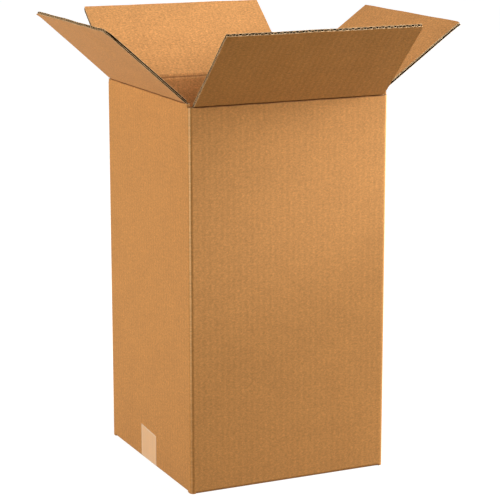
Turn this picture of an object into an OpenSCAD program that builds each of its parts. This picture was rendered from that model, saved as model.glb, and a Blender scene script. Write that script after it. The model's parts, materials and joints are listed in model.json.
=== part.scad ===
// Tall square regular slotted carton, standing open.
// Corrugated kraft board, flutes upright in the walls. The four top flaps stand outwards.
// The bottom flaps are folded shut and held by one strip of packing tape.
// Origin at the centre of the base, +Z up. The front wall faces -Y and the left wall faces -X.

/* [Carton] */
// Clear width inside, between the left and right walls
inside_w = 254; // [180:1:360]
// Clear depth inside, between the front and back walls
inside_d = 254; // [180:1:360]
// Clear height inside, from the bottom flaps to the closed front and back top flaps
inside_h = 457; // [250:1:620]
// Thickness of the corrugated board
board_t = 3.8; // [3:0.1:5]
// Inner radius of the upright corner folds
corner_inner_r = 1.2; // [0.5:0.1:3]
// Inner radius of the folds round the bottom
bottom_inner_r = 0.8; // [0.5:0.1:3]

/* [Slots and flaps] */
// How far the slots reach past the corner folds along the front and back walls
front_slot_past = 1; // [0.5:0.1:8]
// How far the slots reach past the corner folds along the left and right walls
side_slot_past = 5; // [4.5:0.1:8]
// How far the slots are cut below the front fold
slot_drop = 0; // [0:0.5:5]
// Height over the base at which the slots between the bottom flaps end
slot_lift = 0.8; // [0.4:0.1:4]
// Length over which the left and right bottom flaps climb onto the front and back ones
climb_len = 12; // [8:1:30]
// Gap left along the middle where two flaps meet
seam_gap = 2.4; // [1:0.2:6]
// Gap between one closed pair of flaps and the pair over it
layer_gap = 0.3; // [0.2:0.05:1]
// Clearance between each side of a top flap and the corner beside it
flap_clear = 0.3; // [0.1:0.1:1]

/* [Rest pose] */
// Angle of the front flap from upright, outwards
front_open = 46; // [0:1:150]
// Angle of the back flap from upright, outwards
back_open = 51; // [0:1:150]
// Angle of the left flap from upright, outwards
left_open = 48; // [0:1:150]
// Angle of the right flap from upright, outwards
right_open = 54; // [0:1:150]

/* [Score] */
// Board thickness left in the crushed crease
crease_t = 1; // [0.8:0.1:1.6]
// Distance of the crease axis outside the outer liner
axis_out = 0.15; // [0.1:0.05:0.4]
// Clearance of each crushed edge from the mitre plane of the fold
mitre_clear = 0.15; // [0.1:0.05:0.4]
// Straight cuts that follow the curve of a crushed edge
score_steps = 5; // [3:1:8]

/* [Flutes] */
// Pitch of the flutes
flute_pitch = 7.8; // [6:0.1:10]
// Thickness of each liner
liner_t = 0.35; // [0.25:0.05:0.6]
// Thickness of the fluted medium
medium_t = 0.35; // [0.25:0.05:0.6]
// Straight cuts along the curved side of one flute
flute_steps = 6; // [4:2:10]

/* [Glue lap] */
// Width of the lap glued inside the back wall
lap_w = 35; // [25:1:50]
// Slope cut off each end of the lap
lap_bevel = 6; // [2:1:15]
// How far the lap stops short of the folds above and below
lap_short = 10; // [8:1:30]
// How far the free edge of the back wall stops short of the right wall's face
free_edge_gap = 1.5; // [0:0.5:5]

/* [Tape] */
// Width of the packing tape
tape_w = 48; // [36:1:75]
// Thickness of the packing tape
tape_t = 0.1; // [0.05:0.05:0.3]
// Height of the tape's end on the left wall, along its front side
tape_end_near = 42; // [25:1:90]
// Height of the tape's end on the left wall, along its back side
tape_end_far = 45; // [25:1:90]
// Height of the tape's end on the right wall
tape_end_right = 40; // [25:1:90]
// How far the tape lies off the seam, towards the back
tape_off = 4; // [-12:1:12]

/* [Hidden] */
$fn = 48;

outer_w = inside_w + 2 * board_t;
outer_d = inside_d + 2 * board_t;
corner_r = board_t + corner_inner_r;
bottom_r = board_t + bottom_inner_r;

// How far the sides of the flaps stand in from the carton's corners
front_slot = corner_r + front_slot_past;
side_slot = corner_r + side_slot_past;

// The front and back bottom flaps lie under the left and right ones. The walls all stand on the
// same level, apart from the thickness of the tape that goes round the left and right folds.
layer_rise = board_t + layer_gap;
side_base_z = tape_t;
floor_z = layer_rise + board_t;

// Heights of the fold axes. The left and right flaps close over the front and back ones.
front_axis_z = floor_z + inside_h + board_t + axis_out;
side_axis_z = front_axis_z + layer_rise;
slot_top_z = front_axis_z - axis_out - slot_drop;
side_slot_top_z = side_axis_z - axis_out;
slot_bottom_z = slot_lift;

// The front and back flaps reach the middle of the depth, the others the middle of the width.
front_flap_len = outer_d / 2 + axis_out - seam_gap / 2;
side_flap_len = outer_w / 2 + axis_out - seam_gap / 2;
front_panel_w = outer_w - 2 * front_slot;
side_panel_w = outer_d - 2 * side_slot;
front_flap_w = front_panel_w - 2 * flap_clear;
side_flap_w = side_panel_w - 2 * flap_clear;

// Crushed edge, by distance from the fold axis: it starts as a mitre, then thickens along a curve
// that runs this many times as far as it rises.
crush_run = 2.1;
score_start = axis_out + mitre_clear;
mitre_end = score_start + crease_t;
score_end = mitre_end + crush_run * (board_t - crease_t);

// Share of a flute's pitch, on each side of a crest, where the medium is glued to a liner
crest_share = 0.12;

kraft = [0.76, 0.56, 0.35];
kraft_shade = [0.66, 0.47, 0.28];
tape_tan = [0.85, 0.68, 0.47];
cut_past = 1;

// Thickness of a crushed edge at distance s from the fold axis
function crushed_t(s) =
    board_t - (board_t - crease_t) * pow((score_end - s) / (score_end - mitre_end), 2);

// Inner side of a crushed edge, as [depth from the outer face, distance from the axis]
function score_curve() = [
    for (i = [0:score_steps])
        let (s = mitre_end + (score_end - mitre_end) * i / score_steps)
            [crushed_t(s), s]
];

// Crushed edge of a board, with its outer face on the x = 0 line and the fold axis at y = 0
module crushed_edge() {
    polygon(concat([[0, score_end], [0, score_start]], score_curve()));
}

// Height of the medium's centre line in the board, at distance x along it
function medium_y(x) =
    board_t / 2 + (board_t / 2 - liner_t - medium_t / 2) * cos(360 * x / flute_pitch);

// One hollow between the medium and a liner, from one crest at x0 to the next.
// side is 1 for the hollows under the inner liner and -1 for those over the outer one.
module flute_hollow(x0, side) {
    crest = crest_share * flute_pitch;
    run = flute_pitch - 2 * crest;
    liner_y = side > 0 ? board_t - liner_t : liner_t;
    polygon(concat(
        [[x0 + crest, liner_y]],
        [
            for (i = [0:flute_steps])
                let (x = x0 + crest + run * i / flute_steps)
                    [x, medium_y(x) + side * medium_t / 2]
        ],
        [[x0 + flute_pitch - crest, liner_y]]
    ));
}

// Cross section of the board across its flutes, with the outer face on the y = 0 line
module board_section(width) {
    first = -ceil(width / 2 / flute_pitch) - 1;
    difference() {
        translate([-width / 2, 0])
            square([width, board_t]);
        for (i = [first:-first]) {
            flute_hollow(i * flute_pitch, 1);
            flute_hollow((i + 0.5) * flute_pitch, -1);
        }
    }
}

// Flap as it stands when it is unfolded upright: the fold axis is the X axis, the outer face
// looks towards -Y, and the flutes are open at the top edge.
module upright_flap(width, length) {
    translate([-width / 2, axis_out, 0])
        rotate([90, 0, 90])
            linear_extrude(width)
                crushed_edge();
    translate([0, axis_out, score_end])
        linear_extrude(length - score_end)
            board_section(width);
}

// Flap turned outwards about its fold axis, which is then carried to its wall
module placed_flap(width, length, open, wall_turn, wall_out, axis_z) {
    rotate([0, 0, wall_turn])
        translate([0, -wall_out - axis_out, axis_z])
            rotate([open, 0, 0])
                upright_flap(width, length);
}

// Section of one whole panel: bottom flap, bottom fold, wall and crushed top edge.
// The outer face of the wall is on the x = 0 line and the base is y = base_z. The bottom flap
// starts at the base and climbs to the level flap_z.
module panel_section(base_z, flap_z, axis_z, flap_len) {
    polygon([
        [bottom_r, base_z],
        [bottom_r + climb_len, flap_z],
        [flap_len, flap_z],
        [flap_len, flap_z + board_t],
        [bottom_r + climb_len, flap_z + board_t],
        [bottom_r, base_z + board_t]
    ]);
    translate([bottom_r, base_z + bottom_r])
        difference() {
            intersection() {
                circle(bottom_r);
                translate([-bottom_r, -bottom_r])
                    square(bottom_r);
            }
            circle(bottom_r - board_t);
        }
    translate([0, base_z + bottom_r])
        square([board_t, axis_z - score_end - base_z - bottom_r]);
    translate([0, axis_z])
        mirror([0, 1])
            crushed_edge();
}

// Panel carried to its wall, with its outer face at distance wall_out from the middle
module panel(width, base_z, flap_z, axis_z, flap_len, wall_turn, wall_out) {
    rotate([0, 0, wall_turn])
        translate([-width / 2, -wall_out, 0])
            rotate([90, 0, 90])
                linear_extrude(width)
                    panel_section(base_z, flap_z, axis_z, flap_len);
}

// Quarter ring of an upright corner fold, centred on the fold
module corner_ring() {
    difference() {
        intersection() {
            circle(corner_r);
            square(corner_r);
        }
        circle(corner_r - board_t);
    }
}

// Section of a corner fold with the ends of its two walls, outside corner at the origin.
// run_x and run_y are how far the walls go from the corner.
module corner_section(run_x, run_y) {
    translate([-corner_r, -corner_r])
        corner_ring();
    translate([-run_x, -board_t])
        square([run_x - corner_r, board_t]);
    translate([-board_t, -run_y])
        square([board_t, run_y - corner_r]);
}

// Strip of a side wall between its flap and the corner fold, as high as that flap's fold.
// start is the strip's distance from the outside corner, which is at the origin.
module side_strip(start) {
    linear_extrude(side_slot_top_z - slot_bottom_z)
        translate([-board_t, -side_slot])
            square([board_t, side_slot - start]);
}

// Upright corner between the slots, at the corner given by the signs sx and sy
module corner_post(sx, sy) {
    translate([sx * outer_w / 2, sy * outer_d / 2, slot_bottom_z])
        mirror([sx < 0 ? 1 : 0, 0, 0])
            mirror([0, sy < 0 ? 1 : 0, 0]) {
                linear_extrude(slot_top_z - slot_bottom_z)
                    corner_section(front_slot, side_slot);
                side_strip(corner_r);
            }
}

// Back right corner, where the sheet's two ends meet: the right wall turns in behind the back
// wall as the glue lap, and the back wall ends in a free cut edge.
module lapped_corner() {
    translate([outer_w / 2, outer_d / 2, slot_bottom_z]) {
        linear_extrude(slot_top_z - slot_bottom_z) {
            translate([-front_slot, -board_t])
                square([front_slot - free_edge_gap, board_t]);
            translate([0, -board_t])
                corner_section(front_slot, side_slot - board_t);
        }
        side_strip(board_t + corner_r);
    }
}

// Glue lap, flat on the inside of the back wall, with sloping ends where its flutes are open
module glue_lap() {
    lap_low = floor_z + lap_short;
    lap_high = slot_top_z - board_t - lap_short;
    straight_w = lap_w - front_slot;
    translate([outer_w / 2 - front_slot, outer_d / 2 - board_t, 0])
        intersection() {
            translate([cut_past - straight_w / 2, -board_t, lap_low])
                linear_extrude(lap_high - lap_low)
                    board_section(straight_w);
            rotate([90, 0, 0])
                linear_extrude(board_t)
                    polygon([
                        [cut_past, lap_low],
                        [cut_past, lap_high],
                        [cut_past - straight_w, lap_high - lap_bevel],
                        [cut_past - straight_w, lap_low + lap_bevel]
                    ]);
        }
}

// Bed that the tape's width presses into the flaps where the carton stands on it
module tape_bed() {
    translate([-outer_w / 2, tape_off - tape_w / 2, -cut_past])
        cube([outer_w, tape_w, cut_past + tape_t]);
}

module carton_body() {
    color(kraft)
        difference() {
            union() {
                for (turn = [0, 180])
                    panel(
                        front_panel_w, 0, 0, front_axis_z,
                        front_flap_len - axis_out, turn, outer_d / 2
                    );
                for (turn = [-90, 90])
                    panel(
                        side_panel_w, side_base_z, layer_rise, side_axis_z,
                        side_flap_len - axis_out, turn, outer_w / 2
                    );
                corner_post(-1, -1);
                corner_post(1, -1);
                corner_post(-1, 1);
                lapped_corner();
                glue_lap();
            }
            tape_bed();
        }
}

module front_flap() {
    color(kraft_shade)
        placed_flap(front_flap_w, front_flap_len, front_open, 0, outer_d / 2, front_axis_z);
}

module back_flap() {
    color(kraft)
        placed_flap(front_flap_w, front_flap_len, back_open, 180, outer_d / 2, front_axis_z);
}

module left_flap() {
    color(kraft)
        placed_flap(side_flap_w, side_flap_len, left_open, -90, outer_w / 2, side_axis_z);
}

module right_flap() {
    color(kraft)
        placed_flap(side_flap_w, side_flap_len, right_open, 90, outer_w / 2, side_axis_z);
}

// Trough that the tape is bent to, seen from the front: a box whose lower edges have radius r
module trough(half_w, bottom, r, top) {
    for (side = [-1, 1])
        translate([side * (half_w - r), bottom + r])
            circle(r);
    translate([-half_w + r, bottom])
        square([2 * (half_w - r), top - bottom]);
    translate([-half_w, bottom + r])
        square([2 * half_w, top - bottom - r]);
}

// One strip: under the seam, round the ends of the bottom flaps and up the left and right walls
module tape() {
    bend_r = bottom_r + tape_t;
    top = max(tape_end_near, tape_end_far, tape_end_right) + cut_past;
    low_y = tape_off - tape_w / 2;
    color(tape_tan)
        difference() {
            translate([0, low_y + tape_w, 0])
                rotate([90, 0, 0])
                    linear_extrude(tape_w)
                        difference() {
                            trough(outer_w / 2 + tape_t, 0, bend_r, top);
                            trough(outer_w / 2, tape_t, bend_r - tape_t, top + cut_past);
                        }
            translate([0, low_y - cut_past, tape_end_right])
                cube([outer_w, tape_w + 2 * cut_past, top]);
            rotate([90, 0, -90])
                linear_extrude(outer_w)
                    polygon([
                        [-low_y - tape_w - cut_past, tape_end_far],
                        [-low_y - tape_w, tape_end_far],
                        [-low_y, tape_end_near],
                        [-low_y + cut_past, tape_end_near],
                        [-low_y + cut_past, 2 * top],
                        [-low_y - tape_w - cut_past, 2 * top]
                    ]);
        }
}

carton_body();
front_flap();
back_flap();
left_flap();
right_flap();
tape();
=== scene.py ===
# %% [markdown]
# # An open cardboard box
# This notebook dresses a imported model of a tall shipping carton. The carton is one sheet of
# corrugated board, folded and glued, with four top flaps that turn at their creases and one
# strip of tape under its base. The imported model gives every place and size. Each piece made
# here takes its numbers from it, so nothing has to be fitted by eye.

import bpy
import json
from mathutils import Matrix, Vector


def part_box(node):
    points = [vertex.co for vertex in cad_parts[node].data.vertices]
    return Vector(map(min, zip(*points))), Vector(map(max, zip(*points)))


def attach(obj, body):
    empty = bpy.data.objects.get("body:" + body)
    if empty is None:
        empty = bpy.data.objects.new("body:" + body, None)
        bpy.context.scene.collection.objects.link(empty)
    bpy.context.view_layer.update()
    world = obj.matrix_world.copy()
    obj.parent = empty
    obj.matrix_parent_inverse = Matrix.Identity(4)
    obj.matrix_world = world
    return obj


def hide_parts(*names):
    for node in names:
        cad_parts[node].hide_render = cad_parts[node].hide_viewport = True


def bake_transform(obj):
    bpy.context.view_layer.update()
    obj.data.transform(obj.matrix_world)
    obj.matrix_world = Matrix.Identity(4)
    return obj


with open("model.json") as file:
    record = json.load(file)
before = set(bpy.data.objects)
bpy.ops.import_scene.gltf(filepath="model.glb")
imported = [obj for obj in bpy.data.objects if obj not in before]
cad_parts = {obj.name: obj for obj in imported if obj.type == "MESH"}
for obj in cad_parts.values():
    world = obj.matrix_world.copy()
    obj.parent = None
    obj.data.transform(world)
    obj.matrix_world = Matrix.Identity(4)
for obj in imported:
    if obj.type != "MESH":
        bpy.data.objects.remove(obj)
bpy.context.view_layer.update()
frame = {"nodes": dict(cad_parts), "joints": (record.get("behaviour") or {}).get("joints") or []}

# %% Modules that come with the program
import json
import math

import bmesh
import bpy
from mathutils import Vector, noise

UP = Vector((0, 0, 1))
print("program version:", bpy.app.version_string)

# %% [markdown]
# ## The board
# Corrugated board is a waved sheet, the medium, between two flat sheets, the liners. Its
# waves are the flutes. They run up the walls and along each flap from its crease to its edge,
# so they show as a row of small arches on the flaps' outer edges. These sizes are those of
# the board, in metres.

# %% Sizes of the board
BOARD_T = 0.0038
LINER_T = 0.0004
MEDIUM_T = 0.00036
FLUTE_PITCH = 0.0078
AXIS_OUT = 0.00015

print("flutes to a metre:", round(1 / FLUTE_PITCH))

# %% [markdown]
# ## The four creases
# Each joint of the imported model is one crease. Its axis and its outward direction give a small
# frame of its own, in which a flap and the wall under it are easy to describe: `u` runs along
# the crease, `p` goes into the board from its outer face, and `s` is the distance from the
# crease, below it on the wall and above it on the flap. The shut flap is level, so the joint's
# lower limit tells how far the flap stands open.

# %% Read the creases
def read_fold(joint):
    node = joint["child"] + "_flap"
    axis = Vector(joint["axis"])
    fold = {
        "name": joint["child"],
        "node": node,
        "origin": Vector(joint["pos_m"]),
        "axis": axis,
        "outward": axis.cross(UP),
        "open": math.radians(-joint["range_deg"][0] - 90),
    }
    low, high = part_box(node)
    fold["width"] = abs((high - low).dot(axis))
    direction = flap_direction(fold)
    corners = [v.co - fold["origin"] for v in frame["nodes"][node].data.vertices]
    fold["length"] = max(c.dot(direction) for c in corners)
    return fold


def flap_direction(fold, share=1.0):
    angle = fold["open"] * share
    return UP * math.cos(angle) + fold["outward"] * math.sin(angle)


def fold_point(fold, u, p, s, share):
    """A point of the board. share is how much of the flap's turn it takes: 0 wall, 1 flap."""
    angle = fold["open"] * share
    inward = UP * math.sin(angle) - fold["outward"] * math.cos(angle)
    along = flap_direction(fold, share)
    return fold["origin"] + fold["axis"] * u + inward * (AXIS_OUT + p) + along * s


folds = {joint["child"]: read_fold(joint) for joint in frame["joints"]}
for fold in folds.values():
    print(fold["name"], "stands open", round(math.degrees(fold["open"])), "degrees")

# %% [markdown]
# ## The camera
# The camera stands at the front left corner, a little above the open top, with a long lens.
# Its place was found from the corners of the carton in the photograph, so it is fixed here,
# before anything is dressed.

# %% Camera
CAMERA_PLACE = (-0.997, -2.158, 0.792)
CAMERA_YAW = 24.97
CAMERA_PITCH = 12.54
CAMERA_LENS = 139.2


def make_camera():
    data = bpy.data.cameras.new("camera")
    data.lens = CAMERA_LENS
    camera = bpy.data.objects.new("camera", data)
    bpy.context.scene.collection.objects.link(camera)
    camera.location = CAMERA_PLACE
    camera.rotation_euler = (math.radians(90 - CAMERA_PITCH), 0, math.radians(-CAMERA_YAW))
    bpy.context.scene.camera = camera


make_camera()
print("lens:", CAMERA_LENS, "mm")

# %% [markdown]
# ## Tools for building materials
# A material here is a small network of nodes. A few helpers keep the networks short. One adds
# a node and plugs its inputs, some do arithmetic or mix colours, and one stretches a range of
# values. A noise mostly lies between 0.3 and 0.7, so `vary` turns it into a factor near 1.

# %% Node helpers
NOISE_LOW, NOISE_HIGH = 0.3, 0.7


def add_node(tree, kind, inputs=None, **settings):
    node = tree.nodes.new(kind)
    for name, value in settings.items():
        setattr(node, name, value)
    for name, value in (inputs or {}).items():
        if isinstance(value, bpy.types.NodeSocket):
            tree.links.new(value, node.inputs[name])
        else:
            node.inputs[name].default_value = value
    return node


def arith(tree, operation, a, b=0.0):
    return add_node(tree, "ShaderNodeMath", {0: a, 1: b}, operation=operation).outputs[0]


def combine(tree, operation, values):
    total = values[0]
    for value in values[1:]:
        total = arith(tree, operation, total, value)
    return total


def remap(tree, value, low, high, new_low, new_high):
    inputs = {"Value": value, 1: low, 2: high, 3: new_low, 4: new_high}
    return add_node(tree, "ShaderNodeMapRange", inputs).outputs[0]


def from_noise(tree, noise_value, low, high):
    return remap(tree, noise_value, NOISE_LOW, NOISE_HIGH, low, high)


def vary(tree, noise_value, amount):
    return from_noise(tree, noise_value, 1 - amount, 1 + amount)


# %% Colour helpers
def opaque(colour):
    """Leaves a socket alone, and gives a written colour the fourth number that a socket needs."""
    return colour if isinstance(colour, bpy.types.NodeSocket) else tuple(colour) + (1,)


def mix_colours(tree, share, first, second):
    inputs = {"Factor": share, 6: opaque(first), 7: opaque(second)}
    return add_node(tree, "ShaderNodeMix", inputs, data_type="RGBA").outputs[2]


def brighten(tree, colour, light):
    inputs = {0: colour, "Scale": light}
    return add_node(tree, "ShaderNodeVectorMath", inputs, operation="SCALE").outputs[0]


def new_material(name):
    material = bpy.data.materials.new(name)
    material.use_nodes = True
    tree = material.node_tree
    shader = tree.nodes["Principled BSDF"]
    return material, tree, shader


def finish_shader(tree, shader, colour, height, strength, roughness, gloss):
    """Plugs a colour, a bump and a roughness into a material's shader, and sets its gloss."""
    tree.links.new(colour, shader.inputs["Base Color"])
    bump = add_node(
        tree, "ShaderNodeBump", {"Height": height, "Distance": 1.0, "Strength": strength}
    )
    tree.links.new(bump.outputs[0], shader.inputs["Normal"])
    tree.links.new(roughness, shader.inputs["Roughness"])
    shader.inputs["Specular IOR Level"].default_value = gloss


def is_seen(tree):
    """Is 1 for what the camera sees, straight or in a shiny or clear thing, and 0 for light."""
    path = add_node(tree, "ShaderNodeLightPath")
    rays = [path.outputs[kind] for kind in ("Is Camera Ray", "Is Glossy Ray", "Is Transmission Ray")]
    return combine(tree, "ADD", rays)


print("a noise is read from", NOISE_LOW, "to", NOISE_HIGH)

# %% [markdown]
# ## Kraft liner
# The outside of the board is brown kraft paper. Close up it has three layers of detail: long
# fibres that lie across the flutes, small dark and pale flecks, and soft cloudy patches. The
# flutes underneath show through as a faint washboard: a slight bump, with a faint ripple of
# painted light and shade along it. A picture of the paper could be wrapped on, but it would
# blur close up and repeat, so all of it is worked out from noise. The noise reads a map of the
# sheet, in metres, that each piece carries, so the grain turns with the flap and never slides
# over it. Each layer below gives how fine it is across and along the flutes, its detail and
# its seed.

# %% Layers of the kraft paper
BOARD_MAP = "Board"
FINE_SHARE = 0.6
PAPER_LAYERS = {
    "fibres": (300, 1300, 3, 1.0),
    "pulp": (900, 1000, 2, 4.0),
    "mottle": (330, 420, 2, 6.0),
    "clouds": (22, 30, 4, 7.0),
    "patches": (110, 160, 3, 9.0),
    "dark flecks": (900, 2600, 1, 12.0),
    "pale flecks": (700, 2900, 1, 15.0),
}
CLOUD_SHADE = 0.045
PATCH_SHADE = 0.06
FLECK_SHADES = {"mottle": 0.15, "fibres": 0.12, "pulp": 0.12}
WASHBOARD_PAINTED_SHADE = 0.024
FLUTE_RISE = 0.000018
PAPER_RISES = {"fibres": 0.00005, "pulp": 0.00003, "patches": 0.00010}


def board_coordinates(tree):
    uv = add_node(tree, "ShaderNodeUVMap", uv_map=BOARD_MAP)
    split = add_node(tree, "ShaderNodeSeparateXYZ", {"Vector": uv.outputs[0]})
    return uv.outputs[0], split.outputs[0], split.outputs[1]


def flute_wave(tree, across):
    turn = arith(tree, "MULTIPLY", across, 2 * math.pi / FLUTE_PITCH)
    return arith(tree, "COSINE", turn)


def stretched_noise(tree, vector, across, along, detail, seed):
    scaled = add_node(
        tree, "ShaderNodeVectorMath", {0: vector, 1: (across, along, 1)}, operation="MULTIPLY"
    )
    inputs = {"Vector": scaled.outputs[0], "W": seed, "Scale": 1.0, "Detail": detail}
    inputs["Roughness"] = FINE_SHARE
    return add_node(tree, "ShaderNodeTexNoise", inputs, noise_dimensions="4D").outputs[0]


print("layers of the paper:", len(PAPER_LAYERS))

# %% [markdown]
# Where the board is creased, the paper is darkened with painted shade: a number on each point
# of a crease says how much. The paper on an upright corner fold is painted pale, as a painted
# highlight, most of all near the top, so the material can take a second colour for the carton's
# foot. One function makes all three papers, since they differ only in colour and in a few
# amounts.

# %% Kraft liner
# Painted shade in the creases: each point of a crease darkens the paper towards this tint by its share
CREASE_SHADE_MAP = "CreaseShade"
CREASE_SHADE_TINT = (0.42, 0.37, 0.34)
FOOT_LOW, FOOT_HIGH = 0.06, 0.34
DARK_FLECK_TINT = (0.62, 0.56, 0.45)
PALE_FLECK_TINT = (1.16, 1.22, 1.36)
FLECK_FROM, DARK_FLECK_TO, PALE_FLECK_TO = 0.70, 0.80, 0.82
FLECK_SHARE = 0.5
SMOOTH_PAPER, ROUGH_PAPER = 0.74, 0.92
PAPER_BUMP = 0.8
SHEEN, SHEEN_ROUGHNESS = 0.08, 0.4


def times(colour, tint):
    return tuple(c * k for c, k in zip(colour, tint))


def kraft_shade(tree, layers, wave, fleck, cloud, flute_show):
    shades = [vary(tree, layers["clouds"], CLOUD_SHADE * cloud)]
    shades.append(vary(tree, layers["patches"], PATCH_SHADE * cloud))
    for name, amount in FLECK_SHADES.items():
        shades.append(vary(tree, layers[name], amount * fleck))
    # A faint ripple of painted light and shade along the flutes
    painted_ridge = WASHBOARD_PAINTED_SHADE * flute_show
    shades.append(remap(tree, wave, -1, 1, 1 - painted_ridge, 1 + painted_ridge))
    return combine(tree, "MULTIPLY", shades)


def kraft_colour(tree, layers, along, colour, fleck, foot_colour):
    ground = colour
    # The foot colour lets a painted highlight fade towards the foot
    if foot_colour:
        ground = mix_colours(tree, remap(tree, along, FOOT_LOW, FOOT_HIGH, 0, 1), foot_colour, colour)
    most = FLECK_SHARE * fleck
    dark = remap(tree, layers["dark flecks"], FLECK_FROM, DARK_FLECK_TO, 0, most)
    pale = remap(tree, layers["pale flecks"], FLECK_FROM, PALE_FLECK_TO, 0, most)
    darkened = mix_colours(tree, dark, ground, times(colour, DARK_FLECK_TINT))
    return mix_colours(tree, pale, darkened, times(colour, PALE_FLECK_TINT))


def kraft_material(
    name, colour, fleck=1.0, cloud=1.0, flute_show=1.0, gloss=0.35, smoothness=0.0, foot_colour=None
):
    """Kraft paper. With a foot colour, it turns to it towards the foot of the carton."""
    material, tree, shader = new_material(name)
    vector, across, along = board_coordinates(tree)
    layers = {key: stretched_noise(tree, vector, *layer) for key, layer in PAPER_LAYERS.items()}
    wave = flute_wave(tree, across)

    shade = kraft_shade(tree, layers, wave, fleck, cloud, flute_show)
    paper = brighten(tree, kraft_colour(tree, layers, along, colour, fleck, foot_colour), shade)
    # Painted shade in the creases
    crease_shade = add_node(tree, "ShaderNodeAttribute", attribute_name=CREASE_SHADE_MAP).outputs["Fac"]
    tint = mix_colours(tree, crease_shade, (1, 1, 1), CREASE_SHADE_TINT)
    shaded = add_node(tree, "ShaderNodeVectorMath", {0: paper, 1: tint}, operation="MULTIPLY")

    heights = [arith(tree, "MULTIPLY", wave, FLUTE_RISE * flute_show)]
    for key, rise in PAPER_RISES.items():
        heights.append(arith(tree, "MULTIPLY", layers[key], rise))
    height = combine(tree, "ADD", heights)
    roughness = from_noise(tree, layers["pulp"], SMOOTH_PAPER - smoothness, ROUGH_PAPER - smoothness)
    finish_shader(tree, shader, shaded.outputs[0], height, PAPER_BUMP, roughness, gloss)
    shader.inputs["Sheen Weight"].default_value = SHEEN
    shader.inputs["Sheen Roughness"].default_value = SHEEN_ROUGHNESS
    return material


print("the foot's colour fades between", FOOT_LOW, "and", FOOT_HIGH, "m")

# %% The three kraft papers
OUTER_COLOUR = (0.61, 0.278, 0.079)
INNER_COLOUR = (0.575, 0.270, 0.086)
# A painted highlight on the upright corner folds: pale at the top, fading to the foot colour
CORNER_HIGHLIGHT_COLOUR = (0.95, 0.55, 0.235)
CORNER_HIGHLIGHT_FOOT_COLOUR = (0.66, 0.32, 0.105)
outer_liner = kraft_material("kraft_outer_liner", OUTER_COLOUR)
inner_liner = kraft_material("kraft_inner_liner", INNER_COLOUR, fleck=1.6, cloud=1.4, gloss=0.2)
# The paper of the upright corner folds, with its painted highlight
corner_highlight_liner = kraft_material(
    "kraft_corner_painted_highlight", CORNER_HIGHLIGHT_COLOUR, flute_show=0, gloss=0.5, smoothness=0.2,
    foot_colour=CORNER_HIGHLIGHT_FOOT_COLOUR,
)
print("liners:", outer_liner.name, inner_liner.name, corner_highlight_liner.name)

# %% [markdown]
# ## Cut edges and the medium
# Where the board is cut, the edge of the paper is fuzzy and paler than its face. The medium
# inside is a rougher paper. It is painted pale where light reaches it, at the mouths of the
# flutes, and painted dark further in, as shade. The hollows of the flutes are painted near
# black, as painted shade. All three are made as plain papers, so they share one recipe: a
# colour, a fine speckle and a soft bump, read from the object's own space. A noise here is a
# scale and a detail.

# %% Raw paper
DEPTH = "Depth"
MOUTH = 0.003
SPECKLE = (1400.0, 3.0)
BLOTCH = (160.0, 2.0)
SPECKLE_RISE = 0.00008
RAW_BUMP = 1.0
RAW_ROUGHNESS = (0.85, 0.97)
RAW_GLOSS = 0.05


def object_noise(tree, scale, detail):
    place = add_node(tree, "ShaderNodeTexCoord").outputs["Object"]
    inputs = {"Vector": place, "Scale": scale, "Detail": detail}
    return add_node(tree, "ShaderNodeTexNoise", inputs).outputs[0]


def raw_paper(name, colour, amount, deep_colour=None):
    """A plain paper. With a deep colour, it turns to it away from the mouths of the flutes."""
    material, tree, shader = new_material(name)
    speckle = object_noise(tree, *SPECKLE)
    blotch = object_noise(tree, *BLOTCH)
    shade = combine(tree, "MULTIPLY", [vary(tree, speckle, amount), vary(tree, blotch, amount)])
    paper = colour
    if deep_colour:
        depth = add_node(tree, "ShaderNodeAttribute", attribute_name=DEPTH).outputs["Fac"]
        paper = mix_colours(tree, remap(tree, depth, 0.5 * MOUTH, MOUTH, 0, 1), colour, deep_colour)
    height = arith(tree, "MULTIPLY", speckle, SPECKLE_RISE)
    roughness = from_noise(tree, speckle, *RAW_ROUGHNESS)
    colour = brighten(tree, paper, shade)
    finish_shader(tree, shader, colour, height, RAW_BUMP, roughness, RAW_GLOSS)
    return material


CUT_COLOUR = (0.84, 0.58, 0.32)
# The hollows of the flutes are painted near black, as painted shade
FLUTE_SHADOW_COLOUR = (0.016, 0.007, 0.002)
# The medium is painted pale at the flutes' mouths and dark deeper in, as painted light and shade
MEDIUM_COLOUR = (0.72, 0.45, 0.22)
DEEP_MEDIUM_COLOUR = (0.16, 0.07, 0.022)
cut_paper = raw_paper("cut_paper_edge", CUT_COLOUR, 0.12)
medium_paper = raw_paper("medium_paper", MEDIUM_COLOUR, 0.15, deep_colour=DEEP_MEDIUM_COLOUR)
flute_shadow_paper = raw_paper("flute_shadow_paper", FLUTE_SHADOW_COLOUR, 0.18)
print("papers:", cut_paper.name, medium_paper.name, flute_shadow_paper.name)

# %% [markdown]
# The walls are solid in the imported model, so where they are cut, at the corners, the section
# is painted. On such a face the map holds the place along the cut and the depth in the board.
# The paint is pale on both liners and on the wave between them, and dark in the flutes, as
# painted shade. The wave is painted dimmer than the liners, as painted shade, because it lies
# back from the cut.

# %% Painted section of the board
WAVE_PAINT = 0.55
WAVE_FADE = (0.6, 1.2)
LINER_FADE = (0.8, 1.3)
SECTION_SPREAD = 0.15
SECTION_RISE = 0.0001
SECTION_BUMP = 0.6


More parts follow.
